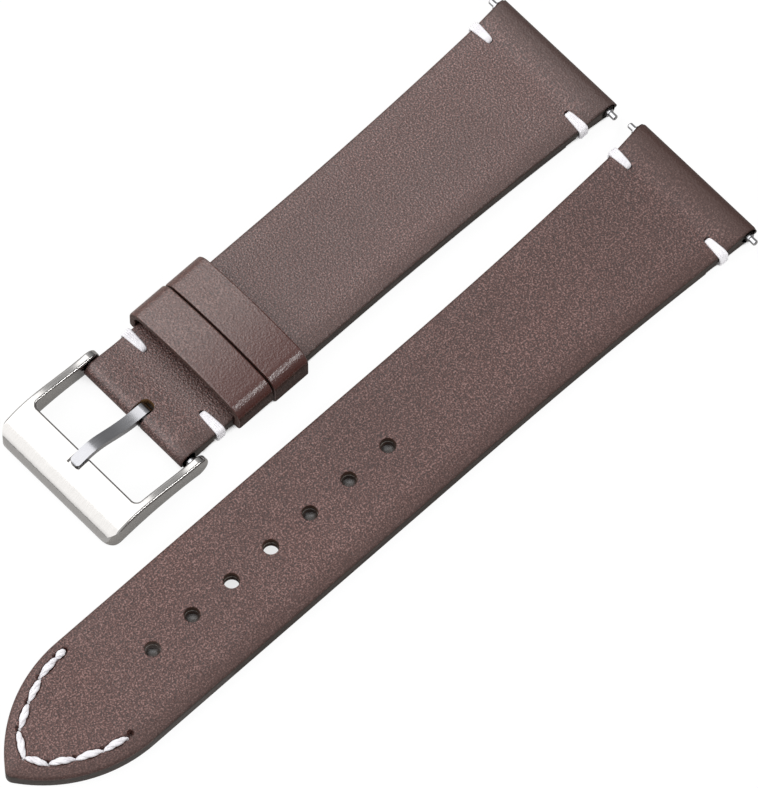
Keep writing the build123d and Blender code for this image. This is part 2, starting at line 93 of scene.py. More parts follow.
def slab(name, outline, low, high, upright=False):
    """A plate with the outline given: seen from above, or from the side if upright."""
    deselect()
    bpy.ops.mesh.primitive_circle_add(vertices=len(outline), radius=MM, fill_type="NGON")
    piece = bpy.context.object
    piece.name = name
    for vertex, (across, along) in zip(piece.data.vertices, outline):
        place = (across, low, along) if upright else (across, along, low)
        vertex.co = Vector(place) * MM
    rise = (high - low) * MM
    move = (0, rise, 0) if upright else (0, 0, rise)
    bpy.ops.object.mode_set(mode="EDIT")
    bpy.ops.mesh.select_all(action="SELECT")
    bpy.ops.mesh.extrude_region_move(TRANSFORM_OT_translate={"value": move})
    bpy.ops.mesh.select_all(action="SELECT")
    bpy.ops.mesh.normals_make_consistent(inside=False)
    bpy.ops.object.mode_set(mode="OBJECT")
    bpy.ops.object.transform_apply(location=True, rotation=True, scale=True)
    return piece


def block(name, low, high):
    """A box from its low corner to its high corner."""
    deselect()
    centre = (Vector(low) + Vector(high)) / 2 * MM
    bpy.ops.mesh.primitive_cube_add(size=1, location=centre)
    piece = bpy.context.object
    piece.name = name
    piece.scale = (Vector(high) - Vector(low)) * MM
    bpy.ops.object.transform_apply(location=True, rotation=True, scale=True)
    return piece


def rod(name, centre, radius, length, along="Z", sides=32):
    """A round bar, used for cutting holes."""
    deselect()
    turn = {"Z": (0, 0, 0), "Y": (math.pi / 2, 0, 0), "X": (0, math.pi / 2, 0)}[along]
    bpy.ops.mesh.primitive_cylinder_add(
        vertices=sides, radius=radius * MM, depth=length * MM,
        location=Vector(centre) * MM, rotation=turn,
    )
    piece = bpy.context.object
    piece.name = name
    bpy.ops.object.transform_apply(location=True, rotation=True, scale=True)
    return piece


def cut(piece, tool, operation="DIFFERENCE", keep_tool=False):
    only(piece)
    change = piece.modifiers.new("cut", "BOOLEAN")
    change.operation = operation
    change.solver = "EXACT"
    change.object = tool
    bpy.ops.object.modifier_apply(modifier=change.name)
    if not keep_tool:
        bpy.data.objects.remove(tool)
    return piece


def copy_of(piece, name):
    twin = piece.copy()
    twin.data = piece.data.copy()
    twin.name = name
    bpy.context.scene.collection.objects.link(twin)
    return twin


def select_edges(piece, wanted, sharper_than=35):
    """In edit mode, selects the sharp edges whose two ends meet the test."""
    bpy.ops.mesh.select_mode(type="EDGE")
    bpy.ops.mesh.select_all(action="DESELECT")
    bpy.ops.mesh.edges_select_sharp(sharpness=math.radians(sharper_than))
    bpy.ops.object.mode_set(mode="OBJECT")
    points = piece.data.vertices
    found = 0
    for edge in piece.data.edges:
        if edge.select:
            ends = [points[index].co / MM for index in edge.vertices]
            edge.select = wanted(ends[0]) and wanted(ends[1])
            found += edge.select
    chosen = [edge.select for edge in piece.data.edges]
    for vertex in points:
        vertex.select = False
    for face in piece.data.polygons:
        face.select = False
    for edge, keep in zip(piece.data.edges, chosen):
        edge.select = keep
    bpy.ops.object.mode_set(mode="EDIT")
    bpy.ops.mesh.select_mode(type="EDGE")
    return found


def round_edges(piece, wanted, width, segments=3, sharper_than=35):
    only(piece)
    bpy.ops.object.mode_set(mode="EDIT")
    if select_edges(piece, wanted, sharper_than):
        bpy.ops.mesh.bevel(offset=width * MM, segments=segments, affect="EDGES", profile=0.5)
    bpy.ops.object.mode_set(mode="OBJECT")


def select_faces(piece, wanted):
    """In edit mode, selects the faces whose middle and normal meet the test."""
    bpy.ops.mesh.select_mode(type="FACE")
    bpy.ops.mesh.select_all(action="DESELECT")
    bpy.ops.object.mode_set(mode="OBJECT")
    for face in piece.data.polygons:
        face.select = wanted(face.center / MM, face.normal)
    bpy.ops.object.mode_set(mode="EDIT")


def finish_mesh(piece, smooth_angle=40):
    """Merges doubles, points the faces outwards and shades them."""
    only(piece)
    bpy.ops.object.mode_set(mode="EDIT")
    bpy.ops.mesh.select_all(action="SELECT")
    bpy.ops.mesh.remove_doubles(threshold=0.001 * MM)
    bpy.ops.mesh.normals_make_consistent(inside=False)
    bpy.ops.object.mode_set(mode="OBJECT")
    bpy.ops.object.shade_smooth_by_angle(angle=math.radians(smooth_angle))
    even = piece.modifiers.new("even", "WEIGHTED_NORMAL")
    even.keep_sharp = True
    bpy.ops.object.modifier_apply(modifier=even.name)
    deselect()


def join(name, pieces):
    deselect()
    for piece in pieces:
        piece.select_set(True)
    bpy.context.view_layer.objects.active = pieces[0]
    bpy.ops.object.join()
    pieces[0].name = name
    deselect()
    return pieces[0]


# ---- outlines


def arc(centre, radius, start, end, steps):
    """Points along an arc, with both ends."""
    angles = [start + (end - start) * step / steps for step in range(steps + 1)]
    return [(centre[0] + radius * math.cos(a), centre[1] + radius * math.sin(a)) for a in angles]


def taper(nose_x):
    """The upper edge from past the lug end to where the taper ends."""
    steps = 14
    run = [nose_x - TAPER_LENGTH * step / steps for step in range(steps + 1)]
    edge = [(x, half_width(x, nose_x)) for x in run]
    return [(nose_x + 1, LUG_HALF)] + edge


def both_edges(upper, y):
    """A closed outline from its upper edge and that edge's mirror image."""
    lower = [(x, -across) for x, across in reversed(upper) if across > 1e-6]
    return [(x, y + across) for x, across in upper + lower]


tip_turn = math.atan2(TIP_RUN, TIP_RADIUS - TAIL_HALF)
long_edge = taper(LONG_NOSE_X)
long_edge += arc(
    (TIP_START_X, TAIL_HALF - TIP_RADIUS), TIP_RADIUS, math.pi / 2, math.pi / 2 + tip_turn, 24
)
long_edge += arc(
    (TIP_START_X - TIP_RUN, 0), TIP_NOSE, math.pi / 2 + tip_turn, math.pi, 8
)[1:]
long_outline = both_edges(long_edge, LONG_Y)

short_edge = taper(SHORT_NOSE_X) + [(BUCKLE_FRONT_X - 1, TAIL_HALF)]
short_outline = both_edges(short_edge, SHORT_Y)


def fold_profile(nose_x, bar_z, base, towards):
    """The leather's outside seen from the side, from its underside round the bar to its top."""
    bar_x = nose_x - towards * FOLD_RADIUS
    steps = 12
    under, over = [], []
    for step in range(steps + 1):
        share = step / steps
        ease = share * share * (3 - 2 * share)
        x = bar_x - towards * FOLD_SLOPE * (1 - share)
        under.append((x, base + (bar_z - FOLD_RADIUS - base) * ease))
        over.append((x, base + THICKNESS + (bar_z + FOLD_RADIUS - base - THICKNESS) * ease))
    nose = arc((bar_x, bar_z), FOLD_RADIUS, -math.pi / 2, math.pi / 2, 24)
    if towards < 0:
        nose = [(2 * bar_x - x, z) for x, z in nose]
    return under + nose[1:-1] + list(reversed(over))


LONG_BAR_Z = LONG_BASE + FOLD_RADIUS
SHORT_BAR_Z = SHORT_BASE + THICKNESS / 2
long_profile = fold_profile(LONG_NOSE_X, LONG_BAR_Z, LONG_BASE, 1)
long_profile += [(-LONG_LENGTH, LONG_BASE + THICKNESS), (-LONG_LENGTH, LONG_BASE)]
short_profile = fold_profile(SHORT_NOSE_X, SHORT_BAR_Z, SHORT_BASE, 1)
short_profile += list(reversed(fold_profile(BUCKLE_FRONT_X, SHORT_BAR_Z, SHORT_BASE, -1)))


def in_rim(point, nose_x, y, tip=False):
    """True for a point on the strap's side faces."""
    if tip and point.x < TIP_START_X:
        if point.x < TIP_START_X - TIP_RUN - 0.55:
            return True
        drop = TIP_START_X - point.x
        reach = math.sqrt(max(0.0, TIP_RADIUS**2 - drop * drop)) - (TIP_RADIUS - TAIL_HALF)
        return abs(point.y - y) > reach - 0.03
    return abs(point.y - y) > half_width(point.x, nose_x) - 0.03


def blank(name, outline, profile, y, bars):
    """One strap half in one thickness, with its tunnels cut."""
    piece = slab(name, outline, -2, 8)
    side = slab(name + "_side", profile, y - 12, y + 12, upright=True)
    cut(piece, side, "INTERSECT")
    for bar_x, bar_z in bars:
        cut(piece, rod("tunnel", (bar_x, y, bar_z), TUNNEL_RADIUS, 30, "Y"))
    return piece


long_bar_x = LONG_NOSE_X - FOLD_RADIUS
short_bar_x = SHORT_NOSE_X - FOLD_RADIUS
long_blank = blank(
    "long_blank", long_outline, long_profile, LONG_Y, [(long_bar_x, LONG_BAR_Z)],
)
short_blank = blank(
    "short_blank", short_outline, short_profile, SHORT_Y,
    [(short_bar_x, SHORT_BAR_Z), (BUCKLE_BAR_X, SHORT_BAR_Z)],
)

# The adjusting holes go through both layers of the long half
for number in range(HOLE_COUNT):
    place = (LONG_NOSE_X - FIRST_HOLE - number * HOLE_PITCH, LONG_Y, 1)
    cut(long_blank, rod("hole", place, HOLE_RADIUS, 8, sides=40))

# The slot for the tongue
slot_end = BUCKLE_BAR_X + 1.65
slot = block("slot", (BUCKLE_FRONT_X - 2, BUCKLE_Y - 0.975, -2), (slot_end, BUCKLE_Y + 0.975, 8))
round_edges(slot, lambda p: p.x > slot_end - 0.01, 0.85, 8)
cut(short_blank, slot)


def layers(piece, y, base, start_x, end_x, name):
    """Parts one half into its top leather and its lining."""
    zone = block("zone", (start_x, y - 14, base - 3), (end_x, y + 14, base + LEATHER))
    lining = copy_of(piece, name + "_lining_leather")
    cut(lining, zone, "INTERSECT", keep_tool=True)
    cut(piece, zone)
    piece.name = name + "_grain_leather"
    return piece, lining


long_top, long_under = layers(
    long_blank, LONG_Y, LONG_BASE, -80, LONG_NOSE_X - FLAP, "long"
)
short_top, short_under = layers(
    short_blank, SHORT_Y, SHORT_BASE, BUCKLE_FRONT_X + FLAP, SHORT_NOSE_X - FLAP, "short"
)


def hole_edge(point):
    """True for a point on the wall of an adjusting hole."""
    number = round((LONG_NOSE_X - FIRST_HOLE - point.x) / HOLE_PITCH)
    number = min(HOLE_COUNT - 1, max(0, number))
    x = LONG_NOSE_X - FIRST_HOLE - number * HOLE_PITCH
    return math.hypot(point.x - x, point.y - LONG_Y) < HOLE_RADIUS + 0.05


def slot_edge(point):
    return (
        abs(point.y - BUCKLE_Y) < 0.99 and point.x < slot_end + 0.02
        and point.x > BUCKLE_FRONT_X - 0.1
    )


# ---- thread


def strand(name, points, radii, thickness):
    """One thread: a smooth curve through the points, as thick as its radii say."""
    deselect()
    bpy.ops.curve.primitive_nurbs_path_add(location=(0, 0, 0))
    line = bpy.context.object
    line.name = name
    line.data.splines.clear()
    spline = line.data.splines.new("NURBS")
    spline.points.add(len(points) - 1)
    for target, point, radius in zip(spline.points, points, radii):
        target.co = (*(Vector(point) * MM), 1.0)
        target.radius = radius
    spline.order_u = 3
    spline.use_endpoint_u = True
    spline.resolution_u = 4
    line.data.bevel_depth = thickness * MM
    line.data.bevel_resolution = 3
    line.data.use_fill_caps = True
    only(line)
    bpy.ops.object.convert(target="MESH")
    return bpy.context.object


PLIES = 3
PLY_TURNS = 0.8
STITCH_WIDTH = 0.98


def twisted_stitch(name, start, end, height, up=1):
    """A stitch of three plies wound round each other, thick in the middle."""
    run = Vector((end[0] - start[0], end[1] - start[1], 0))
    side = Vector((-run.y, run.x, 0)).normalized()
    steps = 12
    plies = []
    for ply in range(PLIES):
        points, radii = [], []
        for step in range(steps + 1):
            share = step / steps
            swell = math.sin(math.pi * share)**0.6 if 0 < share < 1 else 0.0
            phase = 2 * math.pi * (ply / PLIES + PLY_TURNS * share)
            reach = 0.2 * swell
            centre = Vector((start[0], start[1], height)) + run * share
            centre.z += up * (0.17 * swell - 0.22 * (1 - swell))
            offset = side * math.cos(phase) * reach * 1.15
            offset.z = math.sin(phase) * reach * 0.75
            points.append(centre + offset)
            radii.append(0.45 + 0.55 * swell)
        plies.append(strand(name + "_ply", points, radii, 0.265))
    return join(name, plies)


# Where each stitch round the tip comes up and goes down
STITCHES = [
    ((-42.1, -4.85), (-43.55, -4.95)),
    ((-43.5, -4.9), (-46.65, -5.4)),
    ((-46.95, -5.65), (-49.75, -6.8)),
    ((-50.15, -7.0), (-52.95, -8.65)),
    ((-53.4, -8.8), (-55.35, -11.85)),
    ((-55.15, -11.95), (-53.85, -14.45)),
    ((-53.55, -14.5), (-50.95, -16.15)),
    ((-50.85, -16.3), (-47.8, -17.65)),
    ((-47.6, -17.8), (-44.5, -18.45)),
]
AWL_SHIFT = 0.16
awls = [STITCHES[0][0]]
for first, second in zip(STITCHES[:-1], STITCHES[1:]):
    awls.append(((first[1][0] + second[0][0]) / 2, (first[1][1] + second[0][1]) / 2 + AWL_SHIFT))
awls += [STITCHES[-1][1], (-43.75, -18.3)]


def lens(name, start, end, height, widen, depth=0.25):
    """An egg shape along a stitch, which presses a groove into the leather."""
    deselect()
    run = Vector((end[0] - start[0], end[1] - start[1], 0))
    middle = Vector((start[0] + run.x / 2, start[1] + run.y / 2, height))
    bpy.ops.mesh.primitive_uv_sphere_add(
        segments=24, ring_count=12, radius=0.5 * MM, location=middle * MM,
        rotation=(0, 0, math.atan2(run.y, run.x)),
    )
    press = bpy.context.object
    press.name = name
    press.scale = (run.length + 0.5, STITCH_WIDTH + widen, 2 * depth)
    bpy.ops.object.transform_apply(location=True, rotation=True, scale=True)
    return press


long_top_z = LONG_BASE + THICKNESS
for start, end in STITCHES:
    cut(long_top, lens("press", start, end, long_top_z + 0.02, 0.3))
    cut(long_under, lens("press", start, end, LONG_BASE - 0.02, 0.45, 0.42))
for place in awls:
    deselect()
    bpy.ops.mesh.primitive_cone_add(
        vertices=16, radius1=0.16 * MM, radius2=0.5 * MM, depth=0.9 * MM,
        location=Vector((place[0], place[1], long_top_z - 0.35)) * MM,
    )
    awl = bpy.context.object
    bpy.ops.object.transform_apply(location=True, rotation=True, scale=True)
    cut(long_top, awl)

tip_stitches = []
for start, end in STITCHES:
    tip_stitches.append(twisted_stitch("stitch", start, end, long_top_z - 0.06))
    tip_stitches.append(twisted_stitch("stitch", start, end, LONG_BASE + 0.46, -0.2))
    tip_stitches.append(rod("plug", (*end, 0.95), 0.26, 1.3, sides=12))
tip_thread = join("tip_stitching", tip_stitches)
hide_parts("tip_thread")


def edge_wrap(name, x, y, side, edge, reach, base, node, body):
    """Four strands through one hole, fanned out over the strap's edge and back under it."""
    top = base + THICKNESS
    inner, outer = edge - reach + 0.25, edge + 0.17
    strands = []
    for number in (-1.5, -0.5, 0.5, 1.5):
        fan = 0.29 * number
        near = 0.15 * number
        path = [
            (x + near, inner, top - 1.0),
            (x + near, inner - 0.05, top - 0.25),
            (x + near, inner + 0.1, top + 0.06),
            (x + near + (fan - near) * 0.35, inner + 0.7, top + 0.1),
            (x + near + (fan - near) * 0.75, inner + 1.8, top + 0.08),
            (x + fan, edge - 0.35, top + 0.05),
            (x + fan, outer, top - 0.12),
            (x + fan, outer + 0.03, top - 0.7),
            (x + fan, outer + 0.03, base + 0.6),
            (x + fan, outer, base + 0.27),
            (x + fan, edge - 0.3, base + 0.27),
            (x + fan * 0.8, inner + 1.5, base + 0.27),
            (x + near, inner, base + 0.27),
            (x + near, inner, base + 1.2),
        ]
        points = [(px, y + side * py, pz) for px, py, pz in path]
        radii = [0.75, 0.8, 0.9] + [1.0] * (len(path) - 4) + [0.8]
        strands.append(strand(name + "_strand", points, radii, 0.24))
    piece = join(name, strands)
    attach(piece, body)
    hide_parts(node)
    return piece


long_wrap_x = LONG_NOSE_X - 5.6
short_wrap_x = SHORT_NOSE_X - 5.6
buckle_wrap_x = BUCKLE_FRONT_X + 6.5
wrap_edge = half_width(long_wrap_x + 0.65, LONG_NOSE_X)


def wrap_x(side):
    """The left wrap behind the buckle sits a little nearer the keeper than the right one."""
    return buckle_wrap_x + (0.7 if side > 0 else 0.0)


wraps = []
for side, word in ((1, "left"), (-1, "right")):
    wraps.append(edge_wrap(
        "long_lug_stitch_" + word, long_wrap_x, LONG_Y, side, wrap_edge, 3.0, LONG_BASE,
        "long_lug_thread_" + word, "long_half",
    ))
    wraps.append(edge_wrap(
        "short_lug_stitch_" + word, short_wrap_x, SHORT_Y, side, wrap_edge, 3.0, SHORT_BASE,
        "short_lug_thread_" + word, "short_half",
    ))
    wraps.append(edge_wrap(
        "buckle_stitch_" + word, wrap_x(side), SHORT_Y, side, TAIL_HALF, 3.4, SHORT_BASE,
        "buckle_thread_" + word, "short_half",
    ))

for piece, x, y, edge, reach, base, side in (
    (long_top, long_wrap_x, LONG_Y, wrap_edge, 3.0, LONG_BASE, 1),
    (long_top, long_wrap_x, LONG_Y, wrap_edge, 3.0, LONG_BASE, -1),
    (short_top, short_wrap_x, SHORT_Y, wrap_edge, 3.0, SHORT_BASE, 1),
    (short_top, short_wrap_x, SHORT_Y, wrap_edge, 3.0, SHORT_BASE, -1),
    (short_top, wrap_x(1), SHORT_Y, TAIL_HALF, 3.4, SHORT_BASE, 1),
    (short_top, wrap_x(-1), SHORT_Y, TAIL_HALF, 3.4, SHORT_BASE, -1),
):
    inner = y + side * (edge - reach + 0.22)
    cut(piece, rod("awl", (x, inner, base + 1), 0.42, 6, sides=20))
    low_y, high_y = sorted((inner, y + side * (edge + 1)))
    cut(piece, block("flush", (x - 0.7, low_y, base - 1), (x + 0.7, high_y, base + 0.42)))

for piece, y, nose_x, base, tip in (
    (long_top, LONG_Y, LONG_NOSE_X, LONG_BASE, True),
    (short_top, SHORT_Y, SHORT_NOSE_X, SHORT_BASE, False),
):
    seam = base + LEATHER
    round_edges(
        piece,
        lambda p: in_rim(p, nose_x, y, tip) and abs(p.z - seam) > 0.2,
        RIM_ROUND, 3, 30,
    )
round_edges(long_top, lambda p: hole_edge(p) and p.z > 1.8, 0.16, 3)
round_edges(short_top, slot_edge, 0.12, 2)


# ---- keepers

KEEPER_WIDTH = 5.7
KEEPER_INNER = TAIL_HALF + 0.15
KEEPER_OUTER = KEEPER_INNER + 1.0
ARCH = 0.55
fixed_x = SHORT_NOSE_X - 58.3 - KEEPER_WIDTH
free_x = fixed_x + KEEPER_WIDTH + 0.3
short_top_z = SHORT_BASE + THICKNESS


def loop_outline(half, low, high, top_round, low_round, arch):
    """A loop across the strap: rounded corners and a top arched by the height given."""
    steps = 10
    flat = half - top_round
    points = arc((half - low_round, low + low_round), low_round, -math.pi / 2, 0, steps)
    points += arc((flat, high - arch - top_round), top_round, 0, math.pi / 2, steps)
    rise = [flat * (1 - step / steps) for step in range(1, steps + 1)]
    points += [(across, high - arch * (across / flat)**2) for across in rise]
    return points + [(-across, z) for across, z in reversed(points) if across > 1e-6]


def keeper(name, x, low, inner_low, inner_high):
    """A closed loop: its two outlines are bridged and the flat band is extruded along the strap."""
    outer = loop_outline(KEEPER_OUTER, low, inner_high + 1.0, 2.3, 0.45, ARCH)
    inner = loop_outline(KEEPER_INNER, inner_low, inner_high, 1.3, 0.05, ARCH)
    deselect()
    bpy.ops.mesh.primitive_circle_add(vertices=len(outer), radius=2 * MM, fill_type="NOTHING")
    loop = bpy.context.object
    loop.name = name
    bpy.ops.object.mode_set(mode="EDIT")
    bpy.ops.mesh.primitive_circle_add(vertices=len(inner), radius=MM, fill_type="NOTHING")
    bpy.ops.object.mode_set(mode="OBJECT")
    for vertex, (across, height) in zip(loop.data.vertices, outer + inner):
        vertex.co = Vector((x, across + SHORT_Y, height)) * MM
    bpy.ops.object.mode_set(mode="EDIT")
    bpy.ops.mesh.select_all(action="SELECT")
    bpy.ops.mesh.bridge_edge_loops()
    bpy.ops.mesh.select_all(action="SELECT")
    bpy.ops.mesh.extrude_region_move(TRANSFORM_OT_translate={"value": (KEEPER_WIDTH * MM, 0, 0)})
    bpy.ops.mesh.select_all(action="SELECT")
    bpy.ops.mesh.normals_make_consistent(inside=False)
    bpy.ops.object.mode_set(mode="OBJECT")
    return loop


free_keeper = keeper("sliding_keeper", free_x, 0.0, 0.5, short_top_z + THICKNESS + 0.15)
fixed_keeper = keeper(
    "sewn_keeper", fixed_x, SHORT_BASE + 0.5, SHORT_BASE + 1.0, short_top_z + THICKNESS + 0.5
)
cut(fixed_keeper, block(
    "gap", (fixed_x - 2, SHORT_Y - 2.75, -2), (fixed_x + 8, SHORT_Y + 2.75, SHORT_BASE + 1.1)
))
for loop in (free_keeper, fixed_keeper):
    ends = (min(v.co.x for v in loop.data.vertices) / MM, max(v.co.x for v in loop.data.vertices) / MM)
    round_edges(loop, lambda p: abs(p.x - ends[0]) < 0.01 or abs(p.x - ends[1]) < 0.01, 0.22, 3)
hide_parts("free_keeper")
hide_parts("fixed_keeper")

# The lining is pocketed for the sewn keeper's ends
for side in (1, -1):
    low_y, high_y = sorted((SHORT_Y + side * 2.7, SHORT_Y + side * 12))
    cut(short_under, block(
        "pocket", (fixed_x - 0.02, low_y, SHORT_BASE + 0.48),
        (fixed_x + KEEPER_WIDTH + 0.02, high_y, SHORT_BASE + 3),
    ))

for piece, y, nose_x, tip in (
    (long_under, LONG_Y, LONG_NOSE_X, True), (short_under, SHORT_Y, SHORT_NOSE_X, False),
):
    round_edges(piece, lambda p: in_rim(p, nose_x, y, tip) and p.z < 0.61, 0.12, 2, 50)

# ---- materials


def new_material(name):
    made = bpy.data.materials.new(name)
    made.use_nodes = True
    tree = made.node_tree
    shader = tree.nodes["Principled BSDF"]
    place = tree.nodes.new("ShaderNodeTexCoord")
    return made, tree, shader, place.outputs["Object"]


def noise(tree, place, scale, detail=2.0, roughness=0.5, stretch=None):
    """A noise pattern with features about 1/scale metres across."""
    if stretch:
        mapping = tree.nodes.new("ShaderNodeMapping")
        mapping.inputs["Scale"].default_value = stretch
        tree.links.new(place, mapping.inputs["Vector"])
        place = mapping.outputs["Vector"]
    texture = tree.nodes.new("ShaderNodeTexNoise")
    texture.inputs["Scale"].default_value = scale
    texture.inputs["Detail"].default_value = detail
    texture.inputs["Roughness"].default_value = roughness
    tree.links.new(place, texture.inputs["Vector"])
    return texture.outputs["Fac"]


def cells(tree, place, scale, feature="F1"):
    texture = tree.nodes.new("ShaderNodeTexVoronoi")
    texture.feature = feature
    texture.inputs["Scale"].default_value = scale
    tree.links.new(place, texture.inputs["Vector"])
    return texture.outputs["Distance"]


def ramp(tree, value, stops):
    node = tree.nodes.new("ShaderNodeValToRGB")
    bands = node.color_ramp.elements
    while len(bands) < len(stops):
        bands.new(0.5)
    for band, (position, tone) in zip(bands, stops):
        band.position = position
        band.color = tone
    tree.links.new(value, node.inputs["Fac"])
    return node.outputs["Color"]


def spread(tree, value, low, high, to_low, to_high):
    node = tree.nodes.new("ShaderNodeMapRange")
    for name, number in (
        ("From Min", low), ("From Max", high), ("To Min", to_low), ("To Max", to_high)
    ):
        node.inputs[name].default_value = number
    tree.links.new(value, node.inputs["Value"])
    return node.outputs["Result"]


def blend_colours(tree, share, first, second, kind="MIX"):
    node = tree.nodes.new("ShaderNodeMix")
    node.data_type = "RGBA"
    node.blend_type = kind
    factor, a, b = node.inputs[0], node.inputs[6], node.inputs[7]
    for socket, value in ((factor, share), (a, first), (b, second)):
        if isinstance(value, (int, float, tuple)):
            socket.default_value = value
        else:
            tree.links.new(value, socket)
    return node.outputs[2]


def combine(tree, operation, first, second):
    node = tree.nodes.new("ShaderNodeMath")
    node.operation = operation
    for socket, value in zip(node.inputs, (first, second)):
        if isinstance(value, (int, float)):
            socket.default_value = value
        else:
            tree.links.new(value, socket)
    return node.outputs[0]


def bump(tree, shader, height, strength, distance, under=None):
    node = tree.nodes.new("ShaderNodeBump")
    node.inputs["Strength"].default_value = strength
    node.inputs["Distance"].default_value = distance * MM
    tree.links.new(height, node.inputs["Height"])
    if under:
        tree.links.new(under, node.inputs["Normal"])
    if shader:
        tree.links.new(node.outputs["Normal"], shader.inputs["Normal"])
    return node.outputs["Normal"]


def edge_distances(tree, place, nose_x, y, tip):
    """Distances in mm from the strap's left edge, right edge and lug end."""
    split = tree.nodes.new("ShaderNodeSeparateXYZ")
    tree.links.new(place, split.inputs["Vector"])
    x = combine(tree, "MULTIPLY", split.outputs["X"], 1 / MM)
    across = combine(tree, "SUBTRACT", combine(tree, "MULTIPLY", split.outputs["Y"], 1 / MM), y)
    flare = spread(tree, x, nose_x - TAPER_LENGTH, nose_x, 0.0, 1.0)
    flare = combine(tree, "MULTIPLY", combine(tree, "MULTIPLY", flare, flare), LUG_HALF - TAIL_HALF)
    half = combine(tree, "ADD", flare, TAIL_HALF)
    if tip:
        past = combine(tree, "MINIMUM", combine(tree, "SUBTRACT", x, TIP_START_X), 0.0)
        off = combine(tree, "ADD", combine(tree, "ABSOLUTE", across, 0.0), TIP_RADIUS - TAIL_HALF)
        reach = combine(tree, "ADD", combine(tree, "MULTIPLY", past, past),
                        combine(tree, "MULTIPLY", off, off))
        reach = combine(tree, "SUBTRACT", TIP_RADIUS, combine(tree, "SQRT", reach, 0.0))
        lost = combine(tree, "SUBTRACT", combine(tree, "SUBTRACT", TAIL_HALF, reach),
                       combine(tree, "ABSOLUTE", across, 0.0))
        half = combine(tree, "SUBTRACT", half, lost)
    left = combine(tree, "SUBTRACT", half, across)
    right = combine(tree, "ADD", half, across)
    return left, right, combine(tree, "SUBTRACT", nose_x, x)


def grained_leather(name, dark, middle, light, gloss, grain, shine, edges=None, bend_shade=None):
    """Waxed leather with a fine pebbled grain, pale specks painted as glints of sheen, burnished edges with painted
    shade along the right edge and the lug fold, painted shade on a keeper's right side, and slow changes of tone.
    """
    made, tree, shader, place = new_material(name)
    pebble = noise(tree, place, grain, 1.5, 0.6)
    pores = cells(tree, place, grain * 0.8)
    patches = noise(tree, place, 70.0, 3.0, 0.5, stretch=(0.4, 1.0, 1.0))
    rubs = noise(tree, place, 260.0, 2.0, 0.5, stretch=(1.6, 0.3, 1.0))
    # The pale end of the ramp paints glints of sheen onto the grain.
    speck = ramp(tree, pebble, [(0.35, dark), (0.46, middle), (0.53, middle), (0.65, light)])
    tone = spread(tree, patches, 0.35, 0.7, 0.0, 0.3)
    toned = blend_colours(tree, tone, speck, dark)
    rough = spread(tree, pebble, 0.3, 0.7, gloss + 0.08, gloss - 0.05)
    rough = combine(tree, "ADD", rough, spread(tree, rubs, 0.4, 0.75, 0.0, 0.06))
    crown = None
    if edges:
        left, right, end = edge_distances(tree, place, *edges)
        # Towards the edges the tone goes to a burnished dark: a little on the left edge as wear, and much more on the
        # right edge and near the lug fold as painted shade.
        burnish_and_shade = colour(56, 31, 24)
        fold = spread(tree, end, 1.5, 4.6, 0.95, 0.0)
        right_rim = spread(tree, right, 0.2, 3.0, 0.72, 0.0)
        left_rim = spread(tree, left, 0.1, 1.2, 0.3, 0.0)
        wear_and_shade = combine(tree, "MAXIMUM", combine(tree, "MAXIMUM", fold, right_rim), left_rim)
        toned = blend_colours(tree, wear_and_shade, toned, burnish_and_shade)
        rough = combine(tree, "ADD", rough, combine(tree, "MULTIPLY", wear_and_shade, 0.14))
        near = combine(tree, "MINIMUM", left, right)
        drop = combine(tree, "SUBTRACT", 1.0, spread(tree, near, 0.0, 3.0, 0.0, 1.0))
        crown = bump(tree, None, combine(tree, "MULTIPLY", combine(tree, "MULTIPLY", drop, drop), -1.0),
                     1.0, 0.3)
    depth = 0.8
    if bend_shade:
        # A keeper's right side is darkened towards the bend colour: painted shade on the side turned from the light.
        across = edge_distances(tree, place, 0.0, SHORT_Y, False)[1]
        darker = spread(tree, across, TAIL_HALF - 5.5, TAIL_HALF + 3.0, 0.85, 0.0)
        toned = blend_colours(tree, darker, toned, bend_shade)
        depth = 0.4
    tree.links.new(toned, shader.inputs["Base Color"])
    tree.links.new(rough, shader.inputs["Roughness"])
    shader.inputs["Specular IOR Level"].default_value = shine
    height = combine(tree, "MULTIPLY", pebble, pores)
    bump(tree, shader, height, depth, 0.12, crown)
    return made


def edge_paint(name, dark, light, shine=0.2):
    """A cut side, painted and burnished, with the layers showing faintly."""
    made, tree, shader, place = new_material(name)
    streaks = noise(tree, place, 500.0, 3.0, 0.6, stretch=(0.35, 1.0, 5.0))
    dots = noise(tree, place, 3500.0, 2.0, 0.5)
    tree.links.new(ramp(tree, streaks, [(0.3, dark), (0.7, light)]), shader.inputs["Base Color"])
    tree.links.new(spread(tree, dots, 0.3, 0.7, 0.62, 0.48), shader.inputs["Roughness"])
    shader.inputs["Specular IOR Level"].default_value = shine
    bump(tree, shader, combine(tree, "ADD", streaks, dots), 0.4, 0.06)
    return made


def waxed_thread(name):
    made, tree, shader, place = new_material(name)
    fibre = noise(tree, place, 5200.0, 2.0, 0.6)
    shade = noise(tree, place, 700.0, 2.0, 0.5)
    base = ramp(tree, shade, [(0.3, colour(231, 228, 233)), (0.6, colour(246, 244, 247))])
    tree.links.new(base, shader.inputs["Base Color"])
    shader.inputs["Roughness"].default_value = 0.62
    shader.inputs["Sheen Weight"].default_value = 0.25
    bump(tree, shader, fibre, 0.5, 0.05)
    return made


def steel(name, tone, gloss, streak, depth):
    """Steel with fine lines from polishing; depth says how deep the lines are."""
    made, tree, shader, place = new_material(name)
    lines = noise(tree, place, 900.0, 3.0, 0.6, stretch=streak)
    base = ramp(tree, lines, [(0.25, colour(*[c - 8 for c in tone])), (0.75, colour(*tone))])
    tree.links.new(base, shader.inputs["Base Color"])
    shader.inputs["Metallic"].default_value = 1.0
    tree.links.new(spread(tree, lines, 0.3, 0.7, gloss - 0.02, gloss + 0.03),
                   shader.inputs["Roughness"])
    if depth:
        bump(tree, shader, lines, depth, 0.01)
    return made


